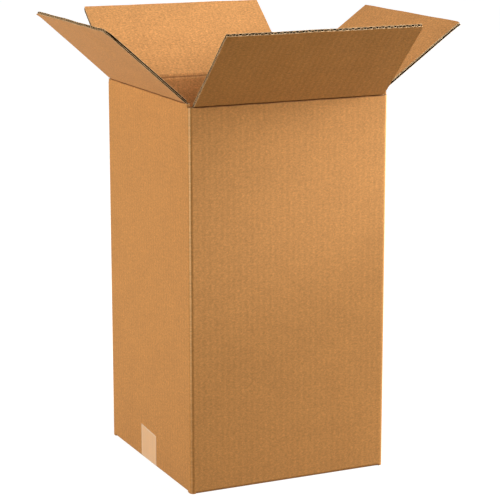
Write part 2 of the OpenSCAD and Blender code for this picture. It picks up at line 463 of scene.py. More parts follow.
def section_paper(tree, along, depth):
    """Is 1 on the paper of a painted section, and 0 in its flutes."""
    swing = arith(tree, "MULTIPLY", flute_wave(tree, along), BOARD_T / 2 - LINER_T)
    off_middle = arith(tree, "SUBTRACT", depth, BOARD_T / 2)
    off_wave = arith(tree, "ABSOLUTE", arith(tree, "SUBTRACT", off_middle, swing))
    core, edge = (share * MEDIUM_T for share in WAVE_FADE)
    wave = remap(tree, off_wave, core, edge, WAVE_PAINT, 0)
    to_face = arith(tree, "SUBTRACT", BOARD_T / 2, arith(tree, "ABSOLUTE", off_middle))
    core, edge = (share * LINER_T for share in LINER_FADE)
    liner = remap(tree, to_face, core, edge, 1, 0)
    return arith(tree, "MAXIMUM", wave, liner)


def section_material():
    material, tree, shader = new_material("board_section")
    _, along, depth = board_coordinates(tree)
    paper = section_paper(tree, along, depth)
    # The flutes are painted dark, and the wave dimmer, as painted shade
    paint = mix_colours(tree, paper, FLUTE_SHADOW_COLOUR, CUT_COLOUR)
    speckle = object_noise(tree, *SPECKLE)
    colour = brighten(tree, paint, vary(tree, speckle, SECTION_SPREAD))
    height = arith(tree, "MULTIPLY", arith(tree, "ADD", paper, speckle), SECTION_RISE)
    roughness = from_noise(tree, speckle, *RAW_ROUGHNESS)
    finish_shader(tree, shader, colour, height, SECTION_BUMP, roughness, RAW_GLOSS)
    return material


board_section = section_material()
print("section:", board_section.name)

# %% [markdown]
# ## Tools for building meshes
# Every piece of board is made of points in a crease's own frame, so the helpers only have to
# turn lists of points and faces into a mesh, turn its faces outwards, and shade it. The map of
# the sheet is set face corner by face corner, because one point can lie on two sides of a fold.

# %% Mesh helpers
SMOOTH_ANGLE = math.radians(35)


def face_outwards(bm):
    """Turns every face outwards. The first step alone can leave a thin waved sheet inside out."""
    bmesh.ops.recalc_face_normals(bm, faces=bm.faces)
    closed = all(edge.is_manifold for edge in bm.edges)
    if closed and bm.calc_volume(signed=True) < 0:
        bmesh.ops.reverse_faces(bm, faces=bm.faces)


def finish_mesh(name, bm, materials, smooth=True):
    face_outwards(bm)
    mesh = bpy.data.meshes.new(name)
    for face in bm.faces:
        face.smooth = smooth
    bm.to_mesh(mesh)
    bm.free()
    for material in materials:
        mesh.materials.append(material)
    if smooth:
        mesh.set_sharp_from_angle(angle=SMOOTH_ANGLE)
    obj = bpy.data.objects.new(name, mesh)
    bpy.context.scene.collection.objects.link(obj)
    return obj


def grid_faces(bm, rows):
    """Joins neighbouring rows of points with four-sided faces, and returns the faces."""
    made = []
    for lower, upper in zip(rows, rows[1:]):
        for i in range(len(lower) - 1):
            made.append(bm.faces.new((lower[i], lower[i + 1], upper[i + 1], upper[i])))
    return made


def rim_pairs(low, high):
    """The pairs of rows that face each other all round the rim of two grids."""
    pairs = [(low[end], high[end]) for end in (0, -1)]
    pairs += [([row[end] for row in low], [row[end] for row in high]) for end in (0, -1)]
    return pairs


def map_faces(bm, uv, place):
    """Gives each face corner the place on the sheet that is noted for its point."""
    for face in bm.faces:
        for loop in face.loops:
            loop[uv].uv = place[loop.vert]


def finished_mesh(obj):
    """A plain mesh of an object with its modifiers worked out."""
    graph = bpy.context.evaluated_depsgraph_get()
    graph.update()
    return bpy.data.meshes.new_from_object(obj.evaluated_get(graph))


def spread(low, high, count):
    return [low + (high - low) * i / (count - 1) for i in range(count)]


print("an edge is sharp from", round(math.degrees(SMOOTH_ANGLE)), "degrees")

# %% [markdown]
# ## How a flap has warped
# A flap that stands open is never quite flat. It bows a little towards its outer edge and
# twists, and a corner that has been knocked is soft and pulled back. One function says how far
# each point of a flap moves into the board's thickness and in from its edge. Liners and medium
# share it, so they stay together. The front and back flaps bow inwards and the left and right
# ones outwards, so that all four can still be shut over each other.

# %% Warp of the flaps
BOW = {"front": 0.0010, "back": 0.0007, "left": -0.0008, "right": -0.0008}
TWIST = {"front": 0.0005, "back": 0.0004, "left": -0.0004, "right": 0.0004}
WAVER, WAVER_SCALE = 0.0005, 25
FLAP_SEED = {name: 7.0 * i for i, name in enumerate(sorted(folds))}

# Side of the corner, how far the softness reaches, how deep it is dented, how far pulled back
KNOCKED = {
    "front": [(-1, 0.014, 0.0018, 0.0018), (1, 0.006, 0.0006, 0.0005)],
    "back": [(1, 0.006, 0.0006, 0.0005)],
    "left": [(-1, 0.012, -0.0010, 0.0010), (1, 0.010, -0.0010, 0.0009)],
    "right": [(-1, 0.006, -0.0008, 0.0005)],
}


def warp(fold, u, p, s):
    """Moves a point of a flat flap to where the warp puts it."""
    name, half, length = fold["name"], fold["width"] / 2, fold["length"]
    share = s / length
    depth = BOW[name] * share * share + TWIST[name] * share * (u / half)
    waver = noise.noise(Vector((u * WAVER_SCALE, s * WAVER_SCALE, FLAP_SEED[name])))
    depth += WAVER * waver * share
    for side, radius, dent, pull in KNOCKED[name]:
        corner = Vector((side * half, length))
        reach = 1 - (Vector((u, s)) - corner).length / radius
        if reach > 0:
            depth += dent * reach * reach
            u -= side * pull * reach * reach
            s -= pull * reach * reach
    return u, p + depth, s


print("knocked corners:", sum(len(k) for k in KNOCKED.values()))

# %% [markdown]
# ## Liners of the flaps
# Each flap has two liners. A liner is a thin closed plate with a grid fine enough to follow
# the warp. Its faces take the kraft paper and its rim takes the cut edge. A knife leaves the
# rim slightly uneven, so the outermost points are nudged by a little noise. The side that
# faces the flutes lies in their shade, so it is painted near black, as painted shade.

# %% Build the liners
CREASE_REACH = 0.008
EDGE_WAVER, EDGE_SCALE = 0.00012, 400
PLY_SCALE = 900
END_SEED = 9.0
LINER_COLUMNS = 97
LINER_ROWS = 25
FACE, RIM_CUT, HIDDEN = 0, 1, 2


def liner_point(fold, u, p, s, column, row):
    if column in (0, LINER_COLUMNS - 1):
        u += EDGE_WAVER * noise.noise(Vector((s * EDGE_SCALE, column, p * PLY_SCALE)))
    if row == LINER_ROWS - 1:
        s += EDGE_WAVER * noise.noise(Vector((u * EDGE_SCALE, END_SEED, p * PLY_SCALE)))
    return fold_point(fold, *warp(fold, u, p, s), 1.0)


def make_liner(fold, which, low_p, high_p, face_material):
    """One liner, between two depths in the board."""
    bm = bmesh.new()
    uv = bm.loops.layers.uv.new(BOARD_MAP)
    half = fold["width"] / 2
    us = spread(-half, half, LINER_COLUMNS)
    ss = spread(CREASE_REACH, fold["length"], LINER_ROWS)
    place = {}
    layers = []
    flute_p = high_p if low_p == 0 else low_p
    for p in (low_p, high_p):
        rows = []
        for j, s in enumerate(ss):
            row = [bm.verts.new(liner_point(fold, u, p, s, i, j)) for i, u in enumerate(us)]
            place.update({v: (u, s) for v, u in zip(row, us)})
            rows.append(row)
        for face in grid_faces(bm, rows):
            # The side towards the flutes is painted near black, as painted shade
            face.material_index = HIDDEN if p == flute_p else FACE
        layers.append(rows)
    for pair in rim_pairs(*layers):
        for face in grid_faces(bm, pair):
            face.material_index = RIM_CUT
    map_faces(bm, uv, place)
    name = f"{fold['name']}_flap_{which}_liner"
    return finish_mesh(name, bm, [face_material, cut_paper, flute_shadow_paper])


flap_liners = {}
for fold in folds.values():
    outside = make_liner(fold, "outer", 0, LINER_T, outer_liner)
    inside = make_liner(fold, "inner", BOARD_T - LINER_T, BOARD_T, inner_liner)
    flap_liners[fold["name"]] = (outside, inside)
print("liners:", 2 * len(flap_liners))

# %% [markdown]
# ## The medium, with Geometry Nodes
# The medium repeats the same wave about thirty times across a flap. That is work for Geometry
# Nodes. The tree bends one small grid into a single wave, gives it the thickness of paper, and
# puts a copy of it on every point of a line. The copies are made real and merged, so the
# result is one sheet. Its sizes, its count and its paper are named inputs.

# %% One wave, repeated along a line
WAVE_POINTS, LENGTH_POINTS = 13, 9
WAVE_JOIN = 0.00002


def medium_tree():
    tree = bpy.data.node_groups.new("fluted_medium", "GeometryNodeTree")
    sockets = {}
    for name in ("Pitch", "Height", "Length", "Thickness"):
        socket = tree.interface.new_socket(name, in_out="INPUT", socket_type="NodeSocketFloat")
        sockets[name] = socket.identifier
    socket = tree.interface.new_socket("Count", in_out="INPUT", socket_type="NodeSocketInt")
    sockets["Count"] = socket.identifier
    socket = tree.interface.new_socket("Paper", in_out="INPUT", socket_type="NodeSocketMaterial")
    sockets["Paper"] = socket.identifier
    tree.interface.new_socket("Geometry", in_out="OUTPUT", socket_type="NodeSocketGeometry")
    given = add_node(tree, "NodeGroupInput").outputs

    grid_size = {"Size X": given["Pitch"], "Size Y": given["Length"]}
    grid_points = {"Vertices X": WAVE_POINTS, "Vertices Y": LENGTH_POINTS}
    wave_grid = add_node(tree, "GeometryNodeMeshGrid", {**grid_size, **grid_points})
    position = add_node(tree, "GeometryNodeInputPosition")
    along = add_node(tree, "ShaderNodeSeparateXYZ", {0: position.outputs[0]}).outputs[0]
    turns = arith(tree, "DIVIDE", along, given["Pitch"])
    swing = arith(tree, "COSINE", arith(tree, "MULTIPLY", turns, 2 * math.pi))
    lift = arith(tree, "MULTIPLY", swing, given["Height"])
    offset = add_node(tree, "ShaderNodeCombineXYZ", {"Z": lift})
    bent = add_node(
        tree, "GeometryNodeSetPosition", {"Geometry": wave_grid.outputs[0], "Offset": offset.outputs[0]}
    )
    line_step = add_node(tree, "ShaderNodeCombineXYZ", {"X": given["Pitch"]})
    line = add_node(
        tree, "GeometryNodeMeshLine", {"Count": given["Count"], "Offset": line_step.outputs[0]}
    )
    copies = add_node(
        tree, "GeometryNodeInstanceOnPoints", {"Points": line.outputs[0], "Instance": bent.outputs[0]}
    )
    real = add_node(tree, "GeometryNodeRealizeInstances", {0: copies.outputs[0]})
    merged = add_node(tree, "GeometryNodeMergeByDistance", {0: real.outputs[0], "Distance": WAVE_JOIN})
    lower = add_node(tree, "GeometryNodeFlipFaces", {0: merged.outputs[0]})
    thick = add_node(
        tree, "GeometryNodeExtrudeMesh",
        {"Mesh": merged.outputs[0], "Offset Scale": given["Thickness"], "Individual": False},
    )
    both = add_node(tree, "GeometryNodeJoinGeometry")
    tree.links.new(thick.outputs[0], both.inputs[0])
    tree.links.new(lower.outputs[0], both.inputs[0])
    closed = add_node(tree, "GeometryNodeMergeByDistance", {0: both.outputs[0], "Distance": WAVE_JOIN})
    whole = add_node(tree, "GeometryNodeRealizeInstances", {0: closed.outputs[0]})
    painted = add_node(
        tree, "GeometryNodeSetMaterial", {"Geometry": whole.outputs[0], "Material": given["Paper"]}
    )
    out = add_node(tree, "NodeGroupOutput")
    tree.links.new(painted.outputs[0], out.inputs[0])
    return tree, sockets


fluting, fluting_inputs = medium_tree()
print("inputs of the tree:", sorted(fluting_inputs))

# %% [markdown]
# The tree leaves a flat corrugated sheet at the origin. Python then trims it to the flap's
# width, sets its place in the board, and bends it with the same warp as the liners. The sheet
# stops a hair short of the liners at the open edge, as a knife presses it back. The waves are
# set a quarter of a pitch over, so that along a flap's sides the medium is cut half way up
# and leaves a dark channel on either side of it.

# %% Set the medium into each flap
MEDIUM_BACK = 0.0002
PHASE = 0.25
SHEET, CUT_EDGE = 0, 1
END_ON = 0.9


def waved_sheet(length, count):
    """The flat sheet that the tree leaves at the origin, as a plain mesh."""
    holder = bpy.data.objects.new("holder", bpy.data.meshes.new("holder"))
    bpy.context.scene.collection.objects.link(holder)
    modifier = holder.modifiers.new("fluting", "NODES")
    modifier.node_group = fluting
    values = {
        "Pitch": FLUTE_PITCH,
        "Height": BOARD_T / 2 - LINER_T - MEDIUM_T / 2,
        "Length": length,
        "Thickness": MEDIUM_T,
        "Count": count,
        "Paper": medium_paper,
    }
    for name, value in values.items():
        modifier[fluting_inputs[name]] = value
    sheet = finished_mesh(holder)
    bpy.data.objects.remove(holder)
    return sheet


def trim_sheet(bm, half):
    """Cuts the sheet at both sides and closes the cuts with faces of many corners."""
    for side in (-1, 1):
        cut = bmesh.ops.bisect_plane(
            bm, geom=bm.verts[:] + bm.edges[:] + bm.faces[:], clear_outer=True,
            plane_co=(side * half, 0, 0), plane_no=(side, 0, 0),
        )
        rim = [e for e in cut["geom_cut"] if isinstance(e, bmesh.types.BMEdge)]
        bmesh.ops.holes_fill(bm, edges=rim)


def paint_sheet(bm):
    """Gives the pale cut edge to the ends of the waves and to the closed cuts."""
    bm.normal_update()
    for face in bm.faces:
        is_end = abs(face.normal.y) > END_ON
        is_cut_side = len(face.verts) > 4
        face.material_index = CUT_EDGE if is_end or is_cut_side else SHEET


def make_medium(fold):
    length = fold["length"] - MEDIUM_BACK - CREASE_REACH
    count = 2 * math.ceil(fold["width"] / FLUTE_PITCH / 2) + 2
    sheet = waved_sheet(length, count)
    bm = bmesh.new()
    bm.from_mesh(sheet)
    bpy.data.meshes.remove(sheet)
    first = (1 - count) / 2 + PHASE
    shift = Vector((first * FLUTE_PITCH, CREASE_REACH + length / 2, 0))
    bmesh.ops.translate(bm, vec=shift, verts=bm.verts)
    trim_sheet(bm, fold["width"] / 2)
    paint_sheet(bm)
    depth = bm.verts.layers.float.new(DEPTH)
    for vert in bm.verts:
        u, s, height = vert.co
        vert[depth] = fold["length"] - s
        vert.co = fold_point(fold, *warp(fold, u, BOARD_T / 2 + height, s), 1.0)
    name = f"{fold['name']}_flap_medium"
    return finish_mesh(name, bm, [medium_paper, cut_paper])


flap_media = {name: make_medium(fold) for name, fold in folds.items()}
for name, piece in flap_media.items():
    print(name, "medium has", len(piece.data.polygons), "faces")

# %% [markdown]
# The pieces are in their places, but nothing says yet what they belong to. Each rides on the
# body of its flap, so it turns with the joint, and its material slot says what it is made of.
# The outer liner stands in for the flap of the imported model.

# %% Give the flaps to their bodies
for name, fold in folds.items():
    for piece in (*flap_liners[name], flap_media[name]):
        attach(piece, name)
    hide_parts(fold["node"])
print("flaps dressed:", sorted(folds))

# %% [markdown]
# ## The creases
# At a crease the board is crushed. From outside it is a narrow valley, which holds a dark line
# of shadow, deepened with painted shade, and from inside the board thins towards the fold. The
# crease bends where its flap turns, so each is one strip that follows the wall at one side and
# the flap at the other.
# Its cross section is a ring of points: the outer side goes up, the inner side comes down. A
# crease is never quite straight or even, so noise moves its points a little near the fold.

# %% Shape of a crease
VALLEY_DEPTH = 0.0018
VALLEY_REACH = 0.0012
CRUSHED_T = 0.0007
GROOVE_REACH = 0.0020
LIP = 0.0003
# How far the painted shade of a crease reaches from the fold
CREASE_SHADE_CORE = 0.0005
CREASE_SHADE_FADE = 0.0010
BEND_REACH = 0.002
WANDER, WANDER_SCALE, WANDER_SEED = 0.0005, 45, 2.0
ROUGH, ROUGH_SCALE_ALONG, ROUGH_SCALE_ACROSS = 0.00025, 130, 900
ROUGH_REACH = 0.7 * CREASE_REACH
CREASE_SEED = {name: 5.0 * i for i, name in enumerate(sorted(folds))}


def smooth(x):
    x = min(1.0, max(0.0, x))
    return x * x * (3 - 2 * x)


def crease_outer(distance):
    """Depth of the outer face at a distance from the fold."""
    return VALLEY_DEPTH * (1 - smooth(distance / VALLEY_REACH))


def crease_inner(distance):
    """Depth of the inner face at a distance from the fold."""
    middle = VALLEY_DEPTH + CRUSHED_T
    groove = (BOARD_T - middle) * (1 - smooth(distance / GROOVE_REACH))
    lip = LIP * smooth(distance / GROOVE_REACH) * (1 - smooth(distance / CREASE_REACH))
    return BOARD_T - groove + lip


def crease_point(fold, u, p, s):
    """A point of the strip, with its share of the flap's turn and of its warp."""
    share = smooth((s / BEND_REACH + 1) / 2)
    if s > 0:
        u, p, s = warp(fold, u, p, s)
    return fold_point(fold, u, p, s, share)


def crease_profile(fold, u, s, side):
    """Depth and place across the crease of one point, where the crease wanders a little."""
    seed = CREASE_SEED[fold["name"]]
    near = 1 - smooth(abs(s) / ROUGH_REACH)
    wander = WANDER * noise.noise(Vector((u * WANDER_SCALE, seed, WANDER_SEED)))
    rough = noise.noise(Vector((u * ROUGH_SCALE_ALONG, s * ROUGH_SCALE_ACROSS, seed)))
    p = crease_outer(abs(s)) if side > 0 else crease_inner(abs(s))
    return p + ROUGH * rough * near, s + wander * near


def painted_crease_shade(s, side):
    """How much painted shade a point takes: most in the valley outside, and below the fold inside."""
    if side > 0:
        return 1 - smooth((abs(s) - CREASE_SHADE_CORE) / CREASE_SHADE_FADE)
    return 1 - smooth(abs(s + CREASE_SHADE_CORE) / CREASE_SHADE_FADE)


print("board left at a fold:", CRUSHED_T * 1000, "mm")

# %% [markdown]
# The strip is built row by row round its ring. It is closed at both ends, where the cut board
# shows as two liners with a gap painted dark as shade. A blend makes one side of the strip
# follow the wall and the other the open flap, and spreads the turn over the few millimetres
# between them. Two plates with a gap would be simpler, but they would let light through the
# fold.

# %% Build the creases
CREASE_COLUMNS = 97
OUTER_SIDE, INNER_SIDE, END_CUT = 0, 1, 2

# Distances from the fold, close together where the board bends most
CREASE_STEPS = [0.0, 0.0003, 0.0006, 0.0009, 0.0012, 0.0016, 0.0021, 0.0030, 0.0042, 0.0058]
CREASE_STEPS.append(CREASE_REACH)
STATIONS = [-d for d in reversed(CREASE_STEPS[1:])] + CREASE_STEPS
RING = [(s, 1) for s in STATIONS] + [(s, -1) for s in reversed(STATIONS)]


def close_end(bm, uv, ends, depth):
    """Closes one end of the strip, from its outer side to its inner one."""
    last = len(ends) - 1
    for k in range(len(STATIONS) - 1):
        face = bm.faces.new((ends[k], ends[k + 1], ends[last - 1 - k], ends[last - k]))
        # The cut end takes the painted section, with painted shade in its flutes
        face.material_index = END_CUT
        for loop in face.loops:
            loop[uv].uv = (FLUTE_PITCH / 4, depth[loop.vert])


def make_crease(fold):
    bm = bmesh.new()
    uv = bm.loops.layers.uv.new(BOARD_MAP)
    # Each point's share of the painted shade in the crease
    crease_shade = bm.verts.layers.float.new(CREASE_SHADE_MAP)
    half = fold["width"] / 2
    us = spread(-half, half, CREASE_COLUMNS)
    rows, place, depth = [], {}, {}
    for s, side in RING:
        row = []
        for u in us:
            profile = crease_profile(fold, u, s, side)
            row.append(bm.verts.new(crease_point(fold, u, *profile)))
            row[-1][crease_shade] = painted_crease_shade(s, side)
            depth[row[-1]] = profile[0]
        place.update({v: (u, s) for v, u in zip(row, us)})
        rows.append(row)
    for (_, side), lower, upper in zip(RING, rows, rows[1:] + rows[:1]):
        for face in grid_faces(bm, [lower, upper]):
            face.material_index = OUTER_SIDE if side > 0 else INNER_SIDE
    map_faces(bm, uv, place)
    for end in (0, -1):
        close_end(bm, uv, [row[end] for row in rows], depth)
    name = f"{fold['name']}_crease"
    return finish_mesh(name, bm, [outer_liner, inner_liner, board_section])


for name, fold in folds.items():
    piece = make_crease(fold)
    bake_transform(piece)
    print(piece.name, "has", len(piece.data.polygons), "faces")

# %% [markdown]
# ## The walls and the bottom
# The walls, the folded bottom flaps and the glue lap are one sheet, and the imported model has
# their true form. So the visible shell starts as a copy of it. The copy is merged into one
# closed mesh, and a box is cut away behind each crease, where the crease strip takes over.

# %% Copy the carton and cut it back to the creases
CUT_PAST = 0.004
SAME_POINT = 0.00001


def crease_cutter(bm, fold):
    """Adds the box that holds one crease, from past the outer face to past the inner one."""
    half = fold["width"] / 2
    corners = []
    for u in (-half, half):
        for p in (-CUT_PAST, BOARD_T + CUT_PAST):
            for s in (-CREASE_REACH, CREASE_REACH):
                corners.append(bm.verts.new(fold_point(fold, u, p, s, 0)))
    bmesh.ops.convex_hull(bm, input=corners)


def make_shell():
    bm = bmesh.new()
    bm.from_mesh(frame["nodes"]["carton_body"].data)
    bmesh.ops.remove_doubles(bm, verts=bm.verts, dist=SAME_POINT)
    shell = finish_mesh("carton_shell", bm, [], smooth=False)
    bm = bmesh.new()
    for fold in folds.values():
        crease_cutter(bm, fold)
    cutter = finish_mesh("cutter", bm, [], smooth=False)
    modifier = shell.modifiers.new("cut", "BOOLEAN")
    modifier.object = cutter
    modifier.solver = "EXACT"
    mesh = finished_mesh(shell)
    bpy.data.objects.remove(shell)
    bpy.data.objects.remove(cutter)
    return mesh


shell_mesh = make_shell()
print("shell:", len(shell_mesh.vertices), "points")

# %% [markdown]
# The flutes stand upright in the walls, and run towards the middle in the bottom flaps. The
# map of the sheet says so: `u` always crosses the flutes. Each face takes its map from the way
# it looks and, underneath, from the layer of bottom flaps that it belongs to. A cut face takes
# the map of the section instead, which follows the board round the corner fold. `WALL` is a
# corner of the carton's box, so its x and y say how far out the walls stand.

# %% Map the shell
HAIR = 0.0001
CORNER_R = 0.005
LAYER_RISE = 0.0041
CLIMB = 0.018
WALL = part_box("carton_body")[1]
FLOOR_Z = LAYER_RISE + BOARD_T
LEVEL = 0.7
BACK_WALL_FROM = WALL.y - 0.95 * BOARD_T


def shell_uv(normal, centre, point):
    x, y, z = point
    level = abs(normal.z) > LEVEL
    side_fold = abs(centre.x) > WALL.x - CLIMB and abs(centre.y) < WALL.y - CORNER_R
    upper_layer = LAYER_RISE - 2 * HAIR < centre.z < 2 * FLOOR_Z
    if level and (side_fold or upper_layer):
        return (y, x)
    if level:
        return (x, y)
    if abs(normal.x) > abs(normal.y):
        return (y, z)
    return (x, z)


def section_uv(point):
    """Place along a cut corner, and depth in the board, of a point seen from above."""
    x, y = abs(point.x), abs(point.y)
    at_lap_corner = point.x > 0 and point.y > 0
    on_back_wall = at_lap_corner and point.y >= BACK_WALL_FROM
    on_lap = at_lap_corner and not on_back_wall
    wall_y = WALL.y - BOARD_T if on_lap else WALL.y
    centre_x, centre_y = WALL.x - CORNER_R, wall_y - CORNER_R
    middle_r = CORNER_R - BOARD_T / 2
    if x > centre_x and y > centre_y and not on_back_wall:
        reach = Vector((x - centre_x, y - centre_y))
        return math.atan2(reach.x, reach.y) * middle_r, CORNER_R - reach.length
    if wall_y - y < WALL.x - x:
        return x - centre_x, wall_y - y
    quarter_turn = middle_r * math.pi / 2
    return quarter_turn + centre_y - y, WALL.x - x


print("corner radius:", CORNER_R * 1000, "mm")

# %% [markdown]
# Which paper a face shows follows from where it lies and which way it looks. A cut across the
# flutes shows the waves, a cut along them shows two liners with a gap painted dark as shade,
# and the inside of the lap's flutes is painted near black, as shade. The upright corner folds
# take a paler, glossier paper outside, whose paleness is a painted highlight that fades towards
# the foot. Small faces round a corner would tilt the shading of the large walls beside them,
# so in the end each point's shading follows the larger faces.

# %% Tell the cut faces apart
SQUARE_ON = 0.99
UPRIGHT = 0.1
UP_OR_DOWN = 0.6
ABOVE_BASE = 0.1
SLOT_TOP = 0.0008
SEAM_HALF = 0.002
CORNER_LEAN = 0.58
FOLD_ROOM = 0.008
LAP_FOLD_X = 0.006
LAP_EDGE_X = 0.0969
LAP_INSIDE = (WALL.y - 1.98 * BOARD_T, WALL.y - 1.02 * BOARD_T)
FREE_EDGE_FROM = WALL.y - 0.9 * BOARD_T


def cut_kind(face):
    """Says where a face of the shell is cut: across the flutes, along them, in a flute, or not."""
    centre, normal = face.calc_center_median(), face.normal
    in_slot = abs(centre.z - SLOT_TOP) < HAIR
    if abs(normal.z) > UP_OR_DOWN and (centre.z > ABOVE_BASE or in_slot):
        return "across"
    in_lap = centre.x > 0 and LAP_INSIDE[0] < centre.y < LAP_INSIDE[1]
    if in_lap and centre.x < WALL.x - LAP_FOLD_X and centre.z > FLOOR_Z:
        is_lap_edge = normal.x < -SQUARE_ON and centre.x < LAP_EDGE_X
        return "along" if is_lap_edge else "flute"
    if normal.x > SQUARE_ON and centre.y > FREE_EDGE_FROM:
        return "along"
    return None


def is_bottom_edge(face):
    centre, normal = face.calc_center_median(), face.normal
    seam = min(abs(centre.x), abs(centre.y)) < SEAM_HALF and abs(normal.z) < UPRIGHT
    flap_side = abs(normal.y) > SQUARE_ON and abs(centre.y) < WALL.y - FOLD_ROOM
    return centre.z < FLOOR_Z and (seam or flap_side)


def is_corner_fold(face):
    centre, normal = face.calc_center_median(), face.normal
    faces_out = normal.x * centre.x > 0 and normal.y * centre.y > 0
    leans = min(abs(normal.x), abs(normal.y)) > CORNER_LEAN
    return faces_out and leans and abs(normal.z) < UPRIGHT


print("the lap's inside starts", round((WALL.y - LAP_INSIDE[1]) * 1000, 2), "mm in")

# %% Paint the shell
SHELL_PAPERS = [outer_liner, inner_liner, flute_shadow_paper, corner_highlight_liner, board_section]
OUTSIDE, INSIDE, FLUTE, CORNER_HIGHLIGHT, SECTION = range(len(SHELL_PAPERS))


def face_paper(face, kind):
    centre, normal = face.calc_center_median(), face.normal
    # The inside of the lap's flutes is painted near black, as painted shade
    if kind == "flute":
        return FLUTE
    if kind or is_bottom_edge(face):
        return SECTION
    # The outside of an upright corner fold takes the painted highlight
    if is_corner_fold(face):
        return CORNER_HIGHLIGHT
    facing_in = centre.x * normal.x + centre.y * normal.y < 0
    return INSIDE if facing_in or normal.z > LEVEL else OUTSIDE


def face_uv(face, kind, point):
    centre, normal = face.calc_center_median(), face.normal
    if kind == "across":
        return section_uv(point)
    if kind == "along":
        back_y = WALL.y if centre.y > WALL.y - BOARD_T else WALL.y - BOARD_T
        return FLUTE_PITCH / 4, back_y - point.y
    if face.material_index == SECTION:
        across = point.y if abs(normal.x) > abs(normal.y) else point.x
        lower_layer = point.z < LAYER_RISE - HAIR
        return across, point.z if lower_layer else point.z - LAYER_RISE
    return shell_uv(normal, centre, point)


def keep_flat(obj):
    """Turns the shading of small faces to that of large ones, so that the walls look flat."""
    modifier = obj.modifiers.new("flat", "WEIGHTED_NORMAL")
    modifier.keep_sharp = True
    flat = finished_mesh(obj)
    obj.modifiers.clear()
    obj.data = flat


def dress_shell(mesh):
    bm = bmesh.new()
    bm.from_mesh(mesh)
    bmesh.ops.remove_doubles(bm, verts=bm.verts, dist=SAME_POINT)
    uv = bm.loops.layers.uv.new(BOARD_MAP)
    bm.normal_update()
    for face in bm.faces:
        kind = cut_kind(face)
        face.material_index = face_paper(face, kind)
        for loop in face.loops:
            loop[uv].uv = face_uv(face, kind, loop.vert.co)
    shell = finish_mesh("carton_shell", bm, SHELL_PAPERS)
    keep_flat(shell)
    return shell


shell = dress_shell(shell_mesh)
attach(shell, "carton")
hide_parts("carton_body")
print("shell faces:", len(shell.data.polygons))

# %% [markdown]
# ## The tape
# The strip is thin tan film. It goes under the seam and up two walls, and its ends were torn
# off on a toothed blade. The film is stretched, so it has long faint streaks, and it is a
# little glossier than the board. Towards its edges it is paler, partly where it lies less
# tightly and partly as a painted highlight on its edges. It is a thin closed strip that
# follows a line of points, with a fine zigzag at each end.

# %% Tape film
TAPE_COLOUR = (0.86, 0.495, 0.225)
# Paler rim: partly film that lies less tightly, partly a painted highlight on the edges
TAPE_RIM_LIFT_AND_HIGHLIGHT_COLOUR = (0.92, 0.72, 0.50)
TAPE_RIM = 0.0020
RIM = "Rim"
TAPE_LAYERS = {
    "streaks": (900, 14, 3, 21.0),
    "bands": (160, 10, 2, 23.0),
    "clouds": (70, 70, 3, 26.0),
}
TAPE_SHADES = {"streaks": 0.045, "bands": 0.04, "clouds": 0.03}
TAPE_RISES = {"streaks": 0.00003, "clouds": 0.0001}
TAPE_ROUGHNESS = (0.32, 0.46)
TAPE_BUMP = 0.6
TAPE_GLOSS = 0.4


def tape_material():
    material, tree, shader = new_material("tape_film")
    vector, _, _ = board_coordinates(tree)
    layers = {key: stretched_noise(tree, vector, *layer) for key, layer in TAPE_LAYERS.items()}
    shades = [vary(tree, layers[key], amount) for key, amount in TAPE_SHADES.items()]
    # The rim's paler colour is partly a painted highlight
    rim = add_node(tree, "ShaderNodeAttribute", attribute_name=RIM).outputs["Fac"]
    film = mix_colours(tree, rim, TAPE_COLOUR, TAPE_RIM_LIFT_AND_HIGHLIGHT_COLOUR)
    colour = brighten(tree, film, combine(tree, "MULTIPLY", shades))
    rises = [arith(tree, "MULTIPLY", layers[key], rise) for key, rise in TAPE_RISES.items()]
    height = combine(tree, "ADD", rises)
    roughness = from_noise(tree, layers["clouds"], *TAPE_ROUGHNESS)
    finish_shader(tree, shader, colour, height, TAPE_BUMP, roughness, TAPE_GLOSS)
    return material


tape_film = tape_material()
print("film:", tape_film.name)

# %% Strip of tape
TAPE_T = 0.0001
TOOTH = 0.0012
TAPE_COLUMNS = 89
NEAR_END, FAR_END, RIGHT_END = 0.042, 0.045, 0.040
BEND_STEPS = 6
WALL_STEPS = 6
BASE_STEPS = 9


def tape_path(half, bend, left_top, right_top):
    """Points along the strip's outer face, seen from the front, from its left end to its right.

    Each point is x, z and the way that the face looks there, as x and z.
    """
    turns = [math.radians(90 * i / BEND_STEPS) for i in range(BEND_STEPS + 1)]
    turns = [(math.sin(a), math.cos(a)) for a in turns]
    left_heights = [left_top] + spread(left_top - TAPE_RIM, bend, WALL_STEPS)[:-1]
    right_heights = spread(bend, right_top - TAPE_RIM, WALL_STEPS)[1:] + [right_top]
    points = [(-half, z, -1, 0) for z in left_heights]
    points += [(-half + bend - bend * c, bend - bend * s, -c, -s) for s, c in turns]
    points += [(x, 0.0, 0, -1) for x in spread(-half + bend, half - bend, BASE_STEPS)[1:-1]]
    points += [(half - bend + bend * s, bend - bend * c, s, -c) for s, c in turns]
    points += [(half, z, 1, 0) for z in right_heights]
    return points


def tape_bend(half):
    """The radius of the strip's bends: the height at which it becomes upright."""
    points = [v.co for v in frame["nodes"]["tape"].data.vertices]
    return min(p.z for p in points if p.x > half - SAME_POINT)


